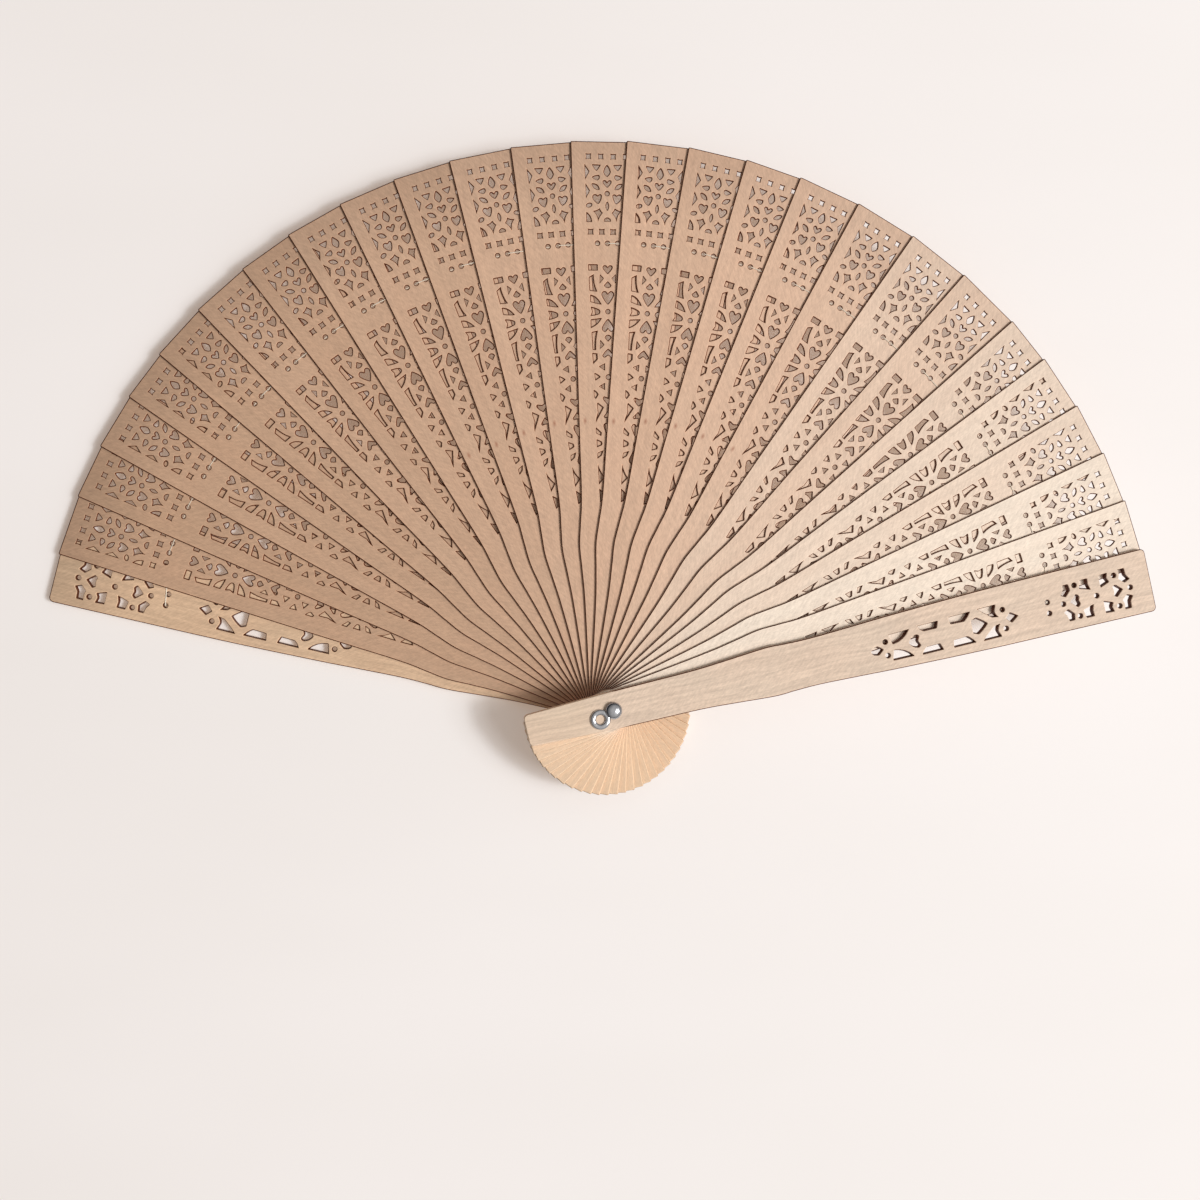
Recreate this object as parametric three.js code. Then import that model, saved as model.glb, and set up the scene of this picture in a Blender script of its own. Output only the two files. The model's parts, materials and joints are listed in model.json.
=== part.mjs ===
// A pierced wooden folding fan, lying open: two thick guards, twenty-five thin
// slats, the rivet that they all turn on, and the thread that strings the tips.
//
// Millimetres, +Z up. The rivet's axis is the Z axis and the origin is the centre
// of the rivet's flat rear end, the fan's lowest point. Sticks lie in parallel
// layers: the back guard lowest and to the left, the front guard highest and to
// the right. The opening is symmetric about +Y.
import * as THREE from 'three';

// ---- driving dimensions -------------------------------------------------------

const TIP_RADIUS = 174; // rivet axis to the square outer end of every stick
const BUTT_RADIUS = 27; // rivet axis to the square inner end of every stick

const GUARD_THICKNESS = 2;
const SLAT_THICKNESS = 0.55;
const LAYER_GAP = 0.25; // between neighbouring sticks, where the thread runs

// Angle between each stick and the next, in degrees, as a hand spreads them.
const OPEN_STEPS = [
  5.1, 6.1, 5.5, 5.7, 5.2, 5.9, 6.0, 5.7, 6.0, 5.9, 5.9, 6.3, 6.1,
  5.7, 6.3, 6.0, 5.8, 6.5, 6.5, 6.6, 6.9, 5.1, 5.9, 5.6, 5.4, 5.0,
];
const SPREAD = OPEN_STEPS.reduce((sum, step) => sum + step, 0);
const BACK_GUARD_ANGLE = 90 + SPREAD / 2;
const SLAT_COUNT = OPEN_STEPS.length - 1;

// Half-widths along a stick, as [distance from the rivet axis, half-width].
// The shoulder at 50 mm is where the handle end meets the pierced blade.
const SLAT_HALF_WIDTHS = [
  [-BUTT_RADIUS, 5.2], [0, 6.1], [31, 7.35], [42, 8.2], [50, 8.95],
  [57, 8.65], [66, 8.3], [92, 8.95], [TIP_RADIUS, 10.8],
];
const GUARD_HALF_WIDTHS = [
  [-BUTT_RADIUS, 4.9], [0, 5.75], [25, 6.1], [36, 6.7], [49.5, 7.65],
  [56, 7.45], [64, 7.35], [77, 7.85], [92, 8.5], [124, 9.4], [TIP_RADIUS, 10],
];
const SLAT_CORNER = 0.4; // chamfer on a slat's four corners
const GUARD_CORNER = 1.4;

const RIVET_RADIUS = 1.5;
const RIVET_SIDES = 16;
const RIVET_HOLE_RADIUS = 1.62; // the hole's flats clear the shank by 0.07 mm
const RIVET_HOLE_SIDES = 12;
const RIVET_HEAD_RADIUS = 2.55;
const RIVET_HEAD_HEIGHT = 1.2;
const RIVET_TAIL_RADIUS = 2.1;
const RIVET_TAIL_HEIGHT = 0.5;
const HARDWARE_GAP = 0.1; // running clearance between metal and wood faces

const WASHER_RADIUS = 3;
const WASHER_THICKNESS = 0.5;

const RING_THICKNESS = 0.8;
const RING_RADIUS = 3.1; // the eye that a tassel hangs from
const RING_HOLE_RADIUS = 1.4;
const RING_COLLAR_RADIUS = 2.3; // the other end, round the rivet
const RING_OFFSET = 4.8; // rivet axis to the centre of the eye
const RING_ANGLE = 215; // where the ring lies, in degrees

const DOT_RADIUS = 0.87;
const DOT_SIDES = 6;
const SLAT_DOT_X = 143; // row of three dots; the thread uses the middle one
const SLAT_DOT_PITCH = 3.1;
const GUARD_DOT_X = 139.8; // pair of dots; the thread uses the left one
const GUARD_DOT_Y = 1.75; // from the line that the guard's motif is symmetric about

// The fretwork is sawn a little to the right of a stick's centreline, and a
// guard's runs at a slight slant. The back guard is a front guard turned over.
const SLAT_MOTIF_OFFSET = -0.4;
const GUARD_MOTIF_OFFSET = -1.2;
const GUARD_MOTIF_MIDDLE = 126;
const GUARD_MOTIF_SLOPE = 0.008;

const THREAD_HALF_WIDTH = 0.17;
const THREAD_HALF_HEIGHT = 0.1;
const THREAD_SIDES = 8;
const STITCH_LEAD = 0.55; // how far from a hole's centre the thread has levelled out
const STITCH_SLOPE = 0.25; // half the length of its steep part, inside the hole
const STITCH_EASE = 0.08; // how far off level it is where the steep part starts
const SPAN_END_GAP = 0.1; // from the end of one span to the start of the next
const KNOT_RADIUS = 0.5;
const KNOT_DROP = 2.2; // from the first span's level down to the knot behind it
const KNOT_RISE = 0.85; // from the last span's level up to the knot in the front guard

// ---- layers -------------------------------------------------------------------

const WASHER_BOTTOM = RIVET_TAIL_HEIGHT + HARDWARE_GAP;
const BACK_GUARD_BOTTOM = WASHER_BOTTOM + WASHER_THICKNESS + HARDWARE_GAP;
const FIRST_SLAT_BOTTOM = BACK_GUARD_BOTTOM + GUARD_THICKNESS + LAYER_GAP;
const SLAT_PITCH = SLAT_THICKNESS + LAYER_GAP;
const FRONT_GUARD_BOTTOM = FIRST_SLAT_BOTTOM + SLAT_COUNT * SLAT_PITCH;
const RING_BOTTOM = FRONT_GUARD_BOTTOM + GUARD_THICKNESS + HARDWARE_GAP;
const RIVET_HEAD_BOTTOM = RING_BOTTOM + RING_THICKNESS + HARDWARE_GAP;

// Stick 0 is the back guard, 1 to 25 are the slats and 26 is the front guard.
const STICK_COUNT = SLAT_COUNT + 2;

function isGuard(stick) {
  return stick === 0 || stick === STICK_COUNT - 1;
}

function stickAngle(stick) {
  const turned = OPEN_STEPS.slice(0, stick).reduce((sum, step) => sum + step, 0);
  return THREE.MathUtils.degToRad(BACK_GUARD_ANGLE - turned);
}

function stickBottom(stick) {
  if (stick === 0) return BACK_GUARD_BOTTOM;
  return FIRST_SLAT_BOTTOM + (stick - 1) * SLAT_PITCH;
}

function twoDigits(number) {
  return String(number).padStart(2, '0');
}

// ---- materials ----------------------------------------------------------------

// The wood is a little darker towards the back guard and paler towards the front.
function woodMaterial(stick) {
  const tan = new THREE.Color(0xc9a684);
  const pale = new THREE.Color(0xe6d2b8);
  const share = stick / (STICK_COUNT - 1);
  return new THREE.MeshStandardMaterial({
    color: tan.lerp(pale, share), roughness: 0.72, metalness: 0,
  });
}

function steelMaterial() {
  return new THREE.MeshStandardMaterial({ color: 0xb9bdc4, roughness: 0.22, metalness: 1 });
}

function threadMaterial() {
  return new THREE.MeshStandardMaterial({ color: 0xe9dcc8, roughness: 0.85, metalness: 0 });
}

// ---- fretwork, in the stick's own frame: x outward, y to the left ---------------

function closedPath(points) {
  return new THREE.Path(points.map(([x, y]) => new THREE.Vector2(x, y)));
}

function mirrored(points) {
  return points.map(([x, y]) => [x, -y]);
}

function roundHole(x, y, radius, sides) {
  const hole = new THREE.Path();
  for (let side = 0; side < sides; side += 1) {
    const angle = (side / sides) * Math.PI * 2;
    const px = x + radius * Math.cos(angle);
    const py = y + radius * Math.sin(angle);
    if (side === 0) hole.moveTo(px, py);
    else hole.lineTo(px, py);
  }
  return hole;
}

function dot(x, y) {
  return roundHole(x, y, DOT_RADIUS, DOT_SIDES);
}

// A four-cornered opening in a slat's motif, widest at its middle station.
function kite(inner, widest, outer, halfWidth) {
  const middle = SLAT_MOTIF_OFFSET;
  return closedPath([
    [inner, middle], [widest, middle + halfWidth], [outer, middle], [widest, middle - halfWidth],
  ]);
}

// A slat keeps the thread's dots and the main openings of its two panels.
function slatHoles() {
  const dots = [-1, 0, 1].map((row) => dot(SLAT_DOT_X, SLAT_MOTIF_OFFSET + row * SLAT_DOT_PITCH));
  const outerPanel = [kite(149.5, 153.5, 156.5, 3.4), kite(160, 163.5, 167, 3.6)];
  const innerPanel = [
    kite(64, 71, 79, 2.6),
    kite(82, 87.5, 94, 3.2),
    kite(97, 104.5, 112, 3.8),
    kite(116, 124, 133, 4.2),
  ];
  return [...dots, ...outerPanel, ...innerPanel];
}

// The line in a front guard that its motif is symmetric about.
function guardMotifLine(x) {
  return GUARD_MOTIF_OFFSET + GUARD_MOTIF_SLOPE * (x - GUARD_MOTIF_MIDDLE);
}

// A guard is pierced right through with its whole motif. side is 1 for the front
// guard and -1 for the back guard, its mirror image.
function guardHoles(side) {
  const dots = [
    [144.8, 0], [149.4, 4.9], [149.4, -4.9], [155.9, 0], [162.6, 4.9], [162.6, -4.9],
    [167.1, 0], [125.2, 3], [125.2, -3], [86.7, 2.15], [86.7, -2.15],
    [GUARD_DOT_X, GUARD_DOT_Y], [GUARD_DOT_X, -GUARD_DOT_Y],
  ];
  const onLine = [
    [[147, 0], [149.3, 2.1], [150.3, 1.1], [149.9, 0], [150.3, -1.1], [149.3, -2.1]],
    [[161.4, 1.4], [162.4, 2.05], [164.7, 0], [162.4, -2.05], [161.4, -1.4]],
    [[125.7, 0], [127.4, 1.7], [129.9, 0], [127.4, -1.7]],
    [[114.6, 2], [116.3, 2.7], [119.8, 0], [116.3, -2.7], [114.6, -2]],
    [[93.9, 0], [95.4, 1.7], [96.5, 2.1], [97.6, 1.4], [96.9, 0], [97.6, -1.4], [96.5, -2.1], [95.4, -1.7]],
    [[81.7, 0], [82.4, 1.1], [84, 1.45], [85.8, 0], [84, -1.45], [82.4, -1.1]],
  ];
  const besideLine = [
    [[144.4, 2.7], [146, 1.9], [147.8, 3.7], [147.5, 5.75], [145.7, 5.75], [145.3, 3.9]],
    [[150.8, 3.4], [154.4, 2.3], [153.8, 4.2], [154, 6.05], [151.3, 6.05]],
    [[157.7, 2.1], [160.8, 3.25], [160.1, 4.6], [160.6, 6.2], [157.7, 6.05]],
    [[163.9, 3.4], [165.6, 1.85], [167.5, 2.65], [166.4, 4.2], [166.3, 6.35], [164.1, 6.4], [164.4, 4.8]],
    [[117.3, 5.1], [118.7, 3.7], [121.5, 1.4], [123.7, 1.05], [122.6, 3.1], [123.4, 5.1]],
    [[107.7, 4.85], [108.1, 2.5], [112.5, 2.3], [115, 4.9]],
    [[97.4, 4.55], [98.2, 3.3], [99.2, 2.45], [103.6, 2.4], [104.4, 4.6]],
    [[88, 4.1], [88.9, 0.85], [91.4, 1.45], [94.9, 4.25]],
  ];
  const place = ([x, y]) => [x, side * (y + guardMotifLine(x))];
  const openings = [...onLine, ...besideLine, ...besideLine.map(mirrored)];
  return [
    ...dots.map(place).map(([x, y]) => dot(x, y)),
    ...openings.map((points) => closedPath(points.map(place))),
  ];
}

// ---- sticks -------------------------------------------------------------------

// The outline runs out along the right edge and back along the left edge, with
// a chamfer at each of the four corners.
function stickShape(halfWidths, corner) {
  const last = halfWidths.length - 1;
  const [buttX, buttHalf] = halfWidths[0];
  const [tipX, tipHalf] = halfWidths[last];
  const leftEdge = [
    [buttX, buttHalf - corner],
    [buttX + corner, buttHalf],
    ...halfWidths.slice(1, last),
    [tipX - corner, tipHalf],
    [tipX, tipHalf - corner],
  ];
  const outline = [...mirrored(leftEdge), ...leftEdge.reverse()];
  return new THREE.Shape(outline.map(([x, y]) => new THREE.Vector2(x, y)));
}

function stickGeometry(shape, openings, depth) {
  shape.holes = [...openings, roundHole(0, 0, RIVET_HOLE_RADIUS, RIVET_HOLE_SIDES)];
  return new THREE.ExtrudeGeometry(shape, { depth, bevelEnabled: false });
}

function slatGeometry() {
  const shape = stickShape(SLAT_HALF_WIDTHS, SLAT_CORNER);
  return stickGeometry(shape, slatHoles(), SLAT_THICKNESS);
}

function guardGeometry(side) {
  const shape = stickShape(GUARD_HALF_WIDTHS, GUARD_CORNER);
  return stickGeometry(shape, guardHoles(side), GUARD_THICKNESS);
}

function stickName(stick) {
  if (stick === 0) return 'back_guard';
  if (stick === STICK_COUNT - 1) return 'front_guard';
  return `slat_${twoDigits(stick)}`;
}

function makeStick(stick, geometry) {
  const mesh = new THREE.Mesh(geometry, woodMaterial(stick));
  mesh.name = stickName(stick);
  mesh.position.z = stickBottom(stick);
  mesh.rotation.z = stickAngle(stick);
  return mesh;
}

// ---- thread -------------------------------------------------------------------

// A curve that a swept section follows point by point, not by arc length.
class StitchCurve extends THREE.CatmullRomCurve3 {
  getUtoTmapping(u) {
    return u;
  }
}

function threadSection() {
  const section = new THREE.Shape();
  section.absellipse(0, 0, THREAD_HALF_WIDTH, THREAD_HALF_HEIGHT, 0, Math.PI * 2);
  return section;
}

// The dot that the thread uses, in the stick's frame.
function threadDot(stick) {
  if (!isGuard(stick)) return [SLAT_DOT_X, SLAT_MOTIF_OFFSET];
  const line = guardMotifLine(GUARD_DOT_X);
  return [GUARD_DOT_X, stick === 0 ? GUARD_DOT_Y - line : GUARD_DOT_Y + line];
}

// The same dot's centre in the open fan.
function threadHole(stick) {
  const angle = stickAngle(stick);
  const [x, y] = threadDot(stick);
  return new THREE.Vector2(
    x * Math.cos(angle) - y * Math.sin(angle),
    x * Math.sin(angle) + y * Math.cos(angle),
  );
}

// From below a slat, up through its dot and level on top of it.
function riseThroughSlat() {
  return [
    [-STITCH_LEAD, -SLAT_PITCH],
    [-STITCH_SLOPE, STITCH_EASE - SLAT_PITCH],
    [0, -SLAT_PITCH / 2],
    [STITCH_SLOPE, -STITCH_EASE],
    [STITCH_LEAD, 0],
  ];
}

// From the knot behind the back guard, straight up and level on top of it.
function riseThroughGuard() {
  return [
    [0, -KNOT_DROP],
    [0, -STITCH_LEAD],
    [STITCH_EASE, -STITCH_SLOPE],
    [STITCH_SLOPE, -STITCH_EASE],
    [STITCH_LEAD, 0],
  ];
}

// Level under the front guard, then straight up to the knot in its hole.
function turnUpIntoGuard(length) {
  return [
    [length - STITCH_LEAD, 0],
    [length - STITCH_SLOPE, STITCH_EASE],
    [length - STITCH_EASE, STITCH_SLOPE],
    [length, KNOT_RISE],
  ];
}

// One span of thread, from the hole in one stick to the hole in the next. Its
// frame has x along the span and z = 0 in the middle of the gap between them.
function spanGeometry(stick, length) {
  const start = stick === 0 ? riseThroughGuard() : riseThroughSlat();
  const end = stick === SLAT_COUNT
    ? turnUpIntoGuard(length)
    : [[length - STITCH_LEAD - SPAN_END_GAP, 0]];
  const route = [...start, [length / 2, 0], ...end];
  const curve = new StitchCurve(route.map(([x, z]) => new THREE.Vector3(x, 0, z)));
  return new THREE.ExtrudeGeometry(threadSection(), {
    steps: route.length - 1,
    curveSegments: THREAD_SIDES / 2,
    extrudePath: curve,
  });
}

function spanLevel(stick) {
  const thickness = isGuard(stick) ? GUARD_THICKNESS : SLAT_THICKNESS;
  return stickBottom(stick) + thickness + LAYER_GAP / 2;
}

function makeSpan(stick) {
  const from = threadHole(stick);
  const run = threadHole(stick + 1).sub(from);
  const mesh = new THREE.Mesh(spanGeometry(stick, run.length()), threadMaterial());
  mesh.name = `thread_span_${twoDigits(stick)}`;
  mesh.position.set(from.x, from.y, spanLevel(stick));
  mesh.rotation.z = Math.atan2(run.y, run.x);
  return mesh;
}

function makeKnot(name, stick, z) {
  const at = threadHole(stick);
  const mesh = new THREE.Mesh(new THREE.SphereGeometry(KNOT_RADIUS, 8, 6), threadMaterial());
  mesh.name = name;
  mesh.position.set(at.x, at.y, z);
  return mesh;
}

// ---- hardware at the pivot ------------------------------------------------------

// Tail, shank and domed head in one turned profile.
function makeRivet() {
  const dome = [[1, 0.15], [0.88, 0.5], [0.62, 0.8], [0.32, 0.96]].map(([across, up]) => [
    RIVET_HEAD_RADIUS * across,
    RIVET_HEAD_BOTTOM + RIVET_HEAD_HEIGHT * up,
  ]);
  const profile = [
    [0, 0],
    [RIVET_TAIL_RADIUS - 0.2, 0],
    [RIVET_TAIL_RADIUS, 0.2],
    [RIVET_TAIL_RADIUS, RIVET_TAIL_HEIGHT],
    [RIVET_RADIUS, RIVET_TAIL_HEIGHT],
    [RIVET_RADIUS, RIVET_HEAD_BOTTOM],
    [RIVET_HEAD_RADIUS, RIVET_HEAD_BOTTOM],
    ...dome,
    [0, RIVET_HEAD_BOTTOM + RIVET_HEAD_HEIGHT],
  ];
  const points = profile.map(([radius, height]) => new THREE.Vector2(radius, height));
  const geometry = new THREE.LatheGeometry(points, RIVET_SIDES);
  geometry.rotateX(Math.PI / 2);
  const mesh = new THREE.Mesh(geometry, steelMaterial());
  mesh.name = 'pivot_rivet';
  return mesh;
}

function makeWasher() {
  const shape = new THREE.Shape();
  shape.absarc(0, 0, WASHER_RADIUS, 0, Math.PI * 2);
  shape.holes = [roundHole(0, 0, RIVET_HOLE_RADIUS, RIVET_HOLE_SIDES)];
  const geometry = new THREE.ExtrudeGeometry(shape, {
    depth: WASHER_THICKNESS, bevelEnabled: false, curveSegments: 10,
  });
  const mesh = new THREE.Mesh(geometry, steelMaterial());
  mesh.name = 'rivet_washer';
  mesh.position.z = WASHER_BOTTOM;
  return mesh;
}

// A figure of eight: a collar round the rivet and an eye beside it.
function makeTasselRing() {
  const crossing = (RING_OFFSET ** 2 + RING_COLLAR_RADIUS ** 2 - RING_RADIUS ** 2)
    / (2 * RING_OFFSET);
  const waist = Math.sqrt(RING_COLLAR_RADIUS ** 2 - crossing ** 2);
  const collarAngle = Math.atan2(waist, crossing);
  const eyeAngle = Math.atan2(waist, crossing - RING_OFFSET);
  const shape = new THREE.Shape();
  shape.absarc(0, 0, RING_COLLAR_RADIUS, collarAngle, Math.PI * 2 - collarAngle);
  shape.absarc(RING_OFFSET, 0, RING_RADIUS, -eyeAngle, eyeAngle);
  shape.holes = [
    roundHole(0, 0, RIVET_HOLE_RADIUS, RIVET_HOLE_SIDES),
    roundHole(RING_OFFSET, 0, RING_HOLE_RADIUS, RIVET_HOLE_SIDES),
  ];
  const geometry = new THREE.ExtrudeGeometry(shape, {
    depth: RING_THICKNESS, bevelEnabled: false, curveSegments: 8,
  });
  const mesh = new THREE.Mesh(geometry, steelMaterial());
  mesh.name = 'tassel_ring';
  mesh.position.z = RING_BOTTOM;
  mesh.rotation.z = THREE.MathUtils.degToRad(RING_ANGLE);
  return mesh;
}

// ---- assembly -----------------------------------------------------------------

const fan = new THREE.Group();
const slatBlank = slatGeometry();
fan.add(makeStick(0, guardGeometry(-1)));
for (let stick = 1; stick <= SLAT_COUNT; stick += 1) {
  fan.add(makeStick(stick, slatBlank));
}
fan.add(makeStick(STICK_COUNT - 1, guardGeometry(1)));
for (let stick = 0; stick <= SLAT_COUNT; stick += 1) {
  fan.add(makeSpan(stick));
}
const backKnotZ = spanLevel(0) - KNOT_DROP - KNOT_RADIUS;
const frontKnotZ = spanLevel(SLAT_COUNT) + KNOT_RISE + KNOT_RADIUS;
fan.add(makeKnot('thread_knot_back', 0, backKnotZ));
fan.add(makeKnot('thread_knot_front', STICK_COUNT - 1, frontKnotZ));
fan.add(makeRivet());
fan.add(makeWasher());
fan.add(makeTasselRing());

export default fan;
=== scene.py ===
import json
import math

import bpy
from mathutils import Matrix, Vector
from mathutils.geometry import delaunay_2d_cdt


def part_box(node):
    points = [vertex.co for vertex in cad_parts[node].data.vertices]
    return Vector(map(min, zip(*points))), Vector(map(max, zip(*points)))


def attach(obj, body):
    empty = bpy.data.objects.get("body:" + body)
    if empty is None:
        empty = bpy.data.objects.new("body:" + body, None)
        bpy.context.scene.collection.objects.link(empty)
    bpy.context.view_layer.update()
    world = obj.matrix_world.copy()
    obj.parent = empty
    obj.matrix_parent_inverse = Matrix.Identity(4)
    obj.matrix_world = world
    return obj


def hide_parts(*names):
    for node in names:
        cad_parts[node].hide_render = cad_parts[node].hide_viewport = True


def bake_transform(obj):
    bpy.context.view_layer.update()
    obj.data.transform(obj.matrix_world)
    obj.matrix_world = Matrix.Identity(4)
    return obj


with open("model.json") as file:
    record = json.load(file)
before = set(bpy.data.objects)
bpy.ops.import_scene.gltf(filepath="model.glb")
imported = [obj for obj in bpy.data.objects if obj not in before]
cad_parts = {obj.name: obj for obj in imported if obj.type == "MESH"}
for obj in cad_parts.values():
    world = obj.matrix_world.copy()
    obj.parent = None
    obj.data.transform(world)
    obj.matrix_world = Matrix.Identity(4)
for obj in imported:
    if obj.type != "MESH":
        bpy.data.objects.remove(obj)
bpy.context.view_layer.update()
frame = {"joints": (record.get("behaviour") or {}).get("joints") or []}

MM = 0.001

# ---- the sticks and where they lie ----------------------------------------------

FOLD_STEPS = [joint["range_deg"][1] for joint in frame["joints"] if joint["name"].endswith("fold")]
SLAT_COUNT = len(FOLD_STEPS) - 1
STICK_COUNT = SLAT_COUNT + 2
BACK_GUARD_ANGLE = 90 + sum(FOLD_STEPS) / 2


def is_guard(stick):
    return stick in (0, STICK_COUNT - 1)


def stick_name(stick):
    if stick == 0:
        return "back_guard"
    if stick == STICK_COUNT - 1:
        return "front_guard"
    return f"slat_{stick:02d}"


def stick_angle(stick):
    return math.radians(BACK_GUARD_ANGLE - sum(FOLD_STEPS[:stick]))


def stick_levels(stick):
    """The heights of a stick's lower and upper faces, in metres."""
    low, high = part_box(stick_name(stick))
    return low.z, high.z


# ---- outlines, in millimetres ---------------------------------------------------

TIP_RADIUS = 174
BUTT_RADIUS = 27
# pairs of distance from the rivet and half-width, which a stick's sides curve through
SLAT_HALF_WIDTHS = [
    (-BUTT_RADIUS, 5.2), (0, 6.1), (31, 7.35), (42, 8.2), (50, 8.95), (57, 8.65), (66, 8.3), (92, 8.95),
    (TIP_RADIUS, 10.8),
]
GUARD_HALF_WIDTHS = [
    (-BUTT_RADIUS, 4.9), (0, 5.75), (25, 6.1), (36, 6.7), (49.5, 7.65), (56, 7.45), (64, 7.35), (77, 7.85),
    (92, 8.5), (124, 9.4), (TIP_RADIUS, 10),
]
SIDE_STEPS = 6  # between two of those pairs
SLAT_CORNER = 0.4
GUARD_CORNER = 1.4
RIVET_HOLE_RADIUS = 1.6

# corner radii of openings
SHARP = 0.16
CRISP = 0.22
SOFT = 0.3
MOST_TRIM = 0.42  # share of a side that rounding may take at each end
LEAST_BULGE = 0.02  # a side that bulges less is drawn in one stretch
BULGE_STEPS = 4


def side_point(start, end, bulge, share):
    """A point on a side that bows out to its right by bulge times its length."""
    along = end - start
    out = Vector((along.y, -along.x))
    return start + along * share + out * (4 * bulge * share * (1 - share))


def outline(corners, radius=CRISP):
    """A closed loop through corners, each (x, y) or (x, y, bulge), with every corner rounded.

    The bulge bows the side that starts at that corner: outward if positive, inward if negative."""
    points = [Vector(corner[:2]) for corner in corners]
    bulges = [corner[2] if len(corner) > 2 else 0 for corner in corners]
    area = sum(a.x * b.y - b.x * a.y for a, b in zip(points, points[1:] + points[:1]))
    if area < 0:
        points = points[::-1]
        bulges = bulges[-2::-1] + bulges[-1:]
    count = len(points)
    sides = []
    for start in range(count):
        a, b = points[start], points[(start + 1) % count]
        trim = min(MOST_TRIM, radius / (b - a).length)
        sides.append((a, b, bulges[start], trim))
    loop = []
    for number, (a, b, bulge, trim) in enumerate(sides):
        spans = 1 if abs(bulge) < LEAST_BULGE else BULGE_STEPS
        for step in range(spans + 1):
            loop.append(side_point(a, b, bulge, trim + (1 - 2 * trim) * step / spans))
        following = sides[(number + 1) % count]
        leave = side_point(a, b, bulge, 1 - trim)
        arrive = side_point(following[0], following[1], following[2], following[3])
        for share in (1 / 3, 2 / 3):
            loop.append(leave.lerp(b, share).lerp(b.lerp(arrive, share), share))
    return loop


def ellipse(x, y, along, across, turn=0, count=16):
    """An ellipse about x, y with half-axes along and across, turned by turn degrees."""
    centre, angle = Vector((x, y)), math.radians(turn)
    loop = []
    for number in range(count):
        t = 2 * math.pi * number / count
        point = Vector((along * math.cos(t), across * math.sin(t)))
        point.rotate(Matrix.Rotation(angle, 2))
        loop.append(centre + point)
    return loop


def dot(x, y, radius=0.87):
    return ellipse(x, y, radius, radius)


def pinched_square(x, y, along, across):
    """A square hole with its sides drawn in and its corners flared."""
    bow = -0.1
    return outline([
        (x - along, y - across, bow), (x + along, y - across, bow),
        (x + along, y + across, bow), (x - along, y + across, bow),
    ], SHARP)


def heart(tip, lobe, notch, half):
    """A heart on the centreline, half its width to each side. It points from its lobes towards tip."""
    shoulder = lobe + (tip - lobe) * 0.34
    half = half if tip < lobe else -half
    peak = half * 0.52
    flank, round_side, notch_side = 0.05, 0.22, 0.12
    return outline([
        (tip, 0, flank), (shoulder, -half, round_side), (lobe, -peak, notch_side),
        (notch, 0, notch_side), (lobe, peak, round_side), (shoulder, half, flank),
    ], SOFT)


def leaf(x0, y0, x1, y1, bulge=0.24):
    return outline([(x0, y0, bulge), (x1, y1, bulge)], SOFT)


def mirrored(loop):
    return [Vector((point.x, -point.y)) for point in loop][::-1]


def both(loops):
    """Each loop and its mirror image across the centreline."""
    return loops + [mirrored(loop) for loop in loops]


# ---- the slats' fretwork --------------------------------------------------------
# Openings are drawn about y = 0, the line that the motif is symmetric about.

SLAT_DOT_X = 143
SLAT_MOTIF_OFFSET = -0.4
GUARD_DOT = (139.8, 1.75)
GUARD_MOTIF_OFFSET = -1.2
GUARD_MOTIF_MIDDLE = 126
GUARD_MOTIF_SLOPE = 0.008


def slat_outer_panel():
    centre = [
        dot(158.2, 0, 0.85),
        heart(159.9, 162.4, 161.6, 1.45),
        outline([(163.2, 0, 0.1), (164.8, -1.2, 0.08), (167.1, 0, 0.08), (164.8, 1.2, 0.1)]),
        leaf(152.8, 0, 155.9, 0, 0.2),
        outline([(149.6, -1.1), (150.3, -1.1, 0.3), (150.3, 1.1), (149.6, 1.1)]),
    ]
    beside = [
        outline([(149.4, 2.9, -0.08), (152.3, 1.3, -0.1), (153.8, 2.3, -0.1), (152.9, 4.5, -0.12)]),
        outline([
            (154.9, 2.7, 0.1), (157.8, 1.6, 0.28), (157.5, 2.9, 0.2), (157.9, 4.3, 0.2), (156.3, 4.3, 0.1),
        ], SOFT),
        leaf(159.3, 2.2, 161.3, 4.9),
        outline([(162.1, 3.1, 0.25), (163.9, 2.4, 0.08), (163.2, 4.8, 0.06)], SOFT),
        outline([(165.0, 3.3, 0.06), (167.0, 1.9), (167.1, 4.7, 0.06)]),
        outline([(149.4, 6.5), (149.4, 4.7, 0.14), (152.6, 6.5)]),
        ellipse(154.6, 5.6, 0.75, 1.05, 20),
        outline([(156.6, 6.6), (159.0, 5.3), (161.3, 6.7)]),
        outline([(162.3, 6.8), (164.9, 5.4), (167.2, 7.0)]),
    ]
    return centre + both(beside)


def slat_squares_and_dots():
    holes = [dot(SLAT_DOT_X, y) for y in (-3.1, 0, 3.1)]
    for y in (1.93, 5.75):
        holes += both([pinched_square(169.5, y, 0.95, 0.92)])
    for y in (1.75, 5.2):
        holes += both([pinched_square(146.5, y, 1.0, 0.98)])
    return holes


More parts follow.
